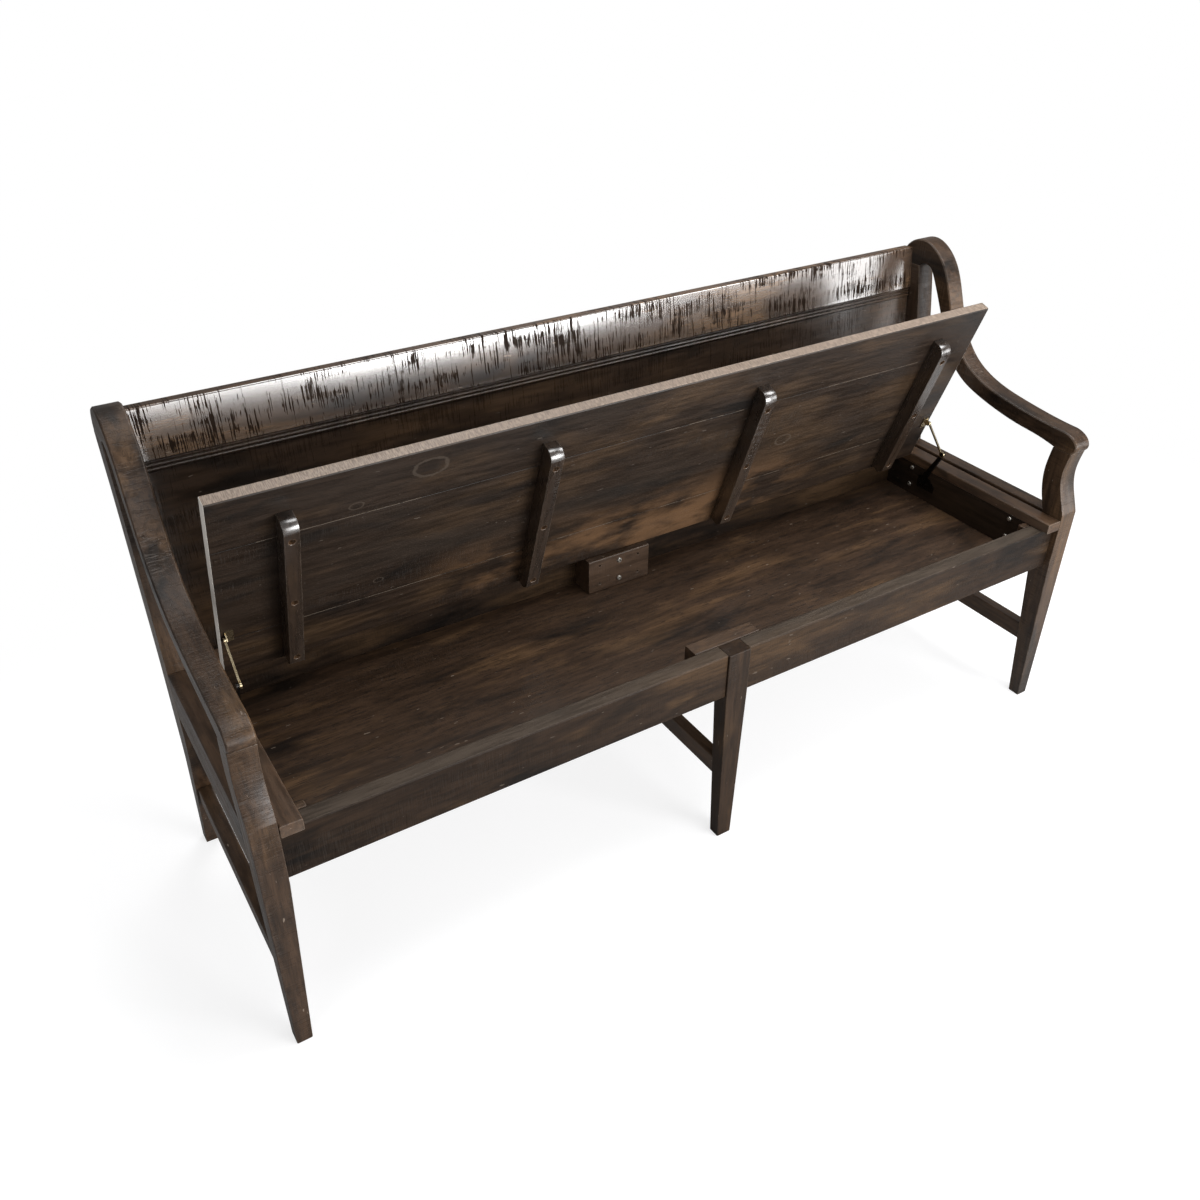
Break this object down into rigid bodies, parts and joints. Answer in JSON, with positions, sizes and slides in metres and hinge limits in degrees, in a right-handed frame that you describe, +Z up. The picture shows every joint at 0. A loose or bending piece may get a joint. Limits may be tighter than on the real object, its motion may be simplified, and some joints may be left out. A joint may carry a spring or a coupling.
{
  "type": "settle bench",
  "caption": "Long open-armed wooden bench with raked back and splayed rear legs; its seat lifts on a rear hinge over a shallow storage box and is held open by folding stays.",
  "frame": {"origin": "on the floor, under the middle of the bench", "axes": "+X along the bench to its right end, +Y to the back, +Z up"},
  "size_m": [1.74, 0.546, 0.922],
  "materials": {
    "dark_wood": "dark brown stain with a waxed satin sheen, saw marks and worn pale edges",
    "hinge_steel": "dull, aged",
    "bolt_black": "blackened, satin",
    "screw_steel": "dull zinc",
    "stay_brass": "dull, plated",
    "stay_dark": "dark, satin"
  },
  "bodies": {
    "frame": {"back_panel": "dark_wood", "back_rail_left": "dark_wood", "back_rail_right": "dark_wood", "back_top_board": "dark_wood", "box_floor": "dark_wood", "centre_front_leg": "dark_wood", "centre_hinge_fixed_leaf": "hinge_steel", "centre_rear_leg": "dark_wood", "centre_stretcher": "dark_wood", "frame_bolts": "bolt_black", "front_block_bolts": "bolt_black", "front_centre_block": "dark_wood", "front_rail_left": "dark_wood", "front_rail_right": "dark_wood", "hinge_pins": "hinge_steel", "left_apron": "dark_wood", "left_arm": "dark_wood", "left_box_side": "dark_wood", "left_corner_block": "dark_wood", "left_filler_strip": "dark_wood", "left_front_post": "dark_wood", "left_hinge_fixed_leaf": "hinge_steel", "left_rear_post": "dark_wood", "left_stay_base": "stay_dark", "left_stretcher": "dark_wood", "rear_block_bolts": "bolt_black", "rear_centre_block": "dark_wood", "rear_hinge_strip": "dark_wood", "reed_moulding": "dark_wood", "right_apron": "dark_wood", "right_arm": "dark_wood", "right_box_side": "dark_wood", "right_corner_block": "dark_wood", "right_filler_strip": "dark_wood", "right_front_post": "dark_wood", "right_hinge_fixed_leaf": "hinge_steel", "right_rear_post": "dark_wood", "right_stay_base": "stay_dark", "right_stretcher": "dark_wood"},
    "lid": {"centre_hinge_lid_leaf": "hinge_steel", "cleat_screws": "screw_steel", "left_hinge_lid_leaf": "hinge_steel", "left_stay_lid_plate": "stay_brass", "lid_cleat_1": "dark_wood", "lid_cleat_2": "dark_wood", "lid_cleat_3": "dark_wood", "lid_cleat_4": "dark_wood", "right_hinge_lid_leaf": "hinge_steel", "right_stay_lid_plate": "stay_brass", "seat_lid": "dark_wood"},
    "left_stay_lever": {"left_stay_arm": "stay_dark"},
    "right_stay_lever": {"right_stay_arm": "stay_dark"},
    "left_stay_link": {"left_stay_rod": "stay_brass"},
    "right_stay_link": {"right_stay_rod": "stay_brass"}
  },
  "joints": [
    {"name": "lid_hinge", "type": "hinge", "parent": "frame", "child": "lid", "pos_m": [0, 0.139, 0.4695], "axis": [1, 0, 0], "range_deg": [0, 71]},
    {"name": "left_stay_foot", "type": "hinge", "parent": "frame", "child": "left_stay_lever", "pos_m": [-0.789, 0.072, 0.415], "axis": [1, 0, 0], "range_deg": [0, 77]},
    {"name": "right_stay_foot", "type": "hinge", "parent": "frame", "child": "right_stay_lever", "pos_m": [0.789, 0.072, 0.415], "axis": [1, 0, 0], "range_deg": [0, 77]},
    {"name": "left_stay_head", "type": "hinge", "parent": "lid", "child": "left_stay_link", "pos_m": [-0.784, 0.07454, 0.55994], "axis": [1, 0, 0], "range_deg": [-80, 0]},
    {"name": "right_stay_head", "type": "hinge", "parent": "lid", "child": "right_stay_link", "pos_m": [0.784, 0.07454, 0.55994], "axis": [1, 0, 0], "range_deg": [-80, 0]}
  ],
  "couplings": [
    {"joint": "left_stay_foot", "follows": "lid_hinge", "ratio": 1.0786},
    {"joint": "right_stay_foot", "follows": "lid_hinge", "ratio": 1.0786},
    {"joint": "left_stay_head", "follows": "lid_hinge", "ratio": -1.1235},
    {"joint": "right_stay_head", "follows": "lid_hinge", "ratio": -1.1235}
  ]
}
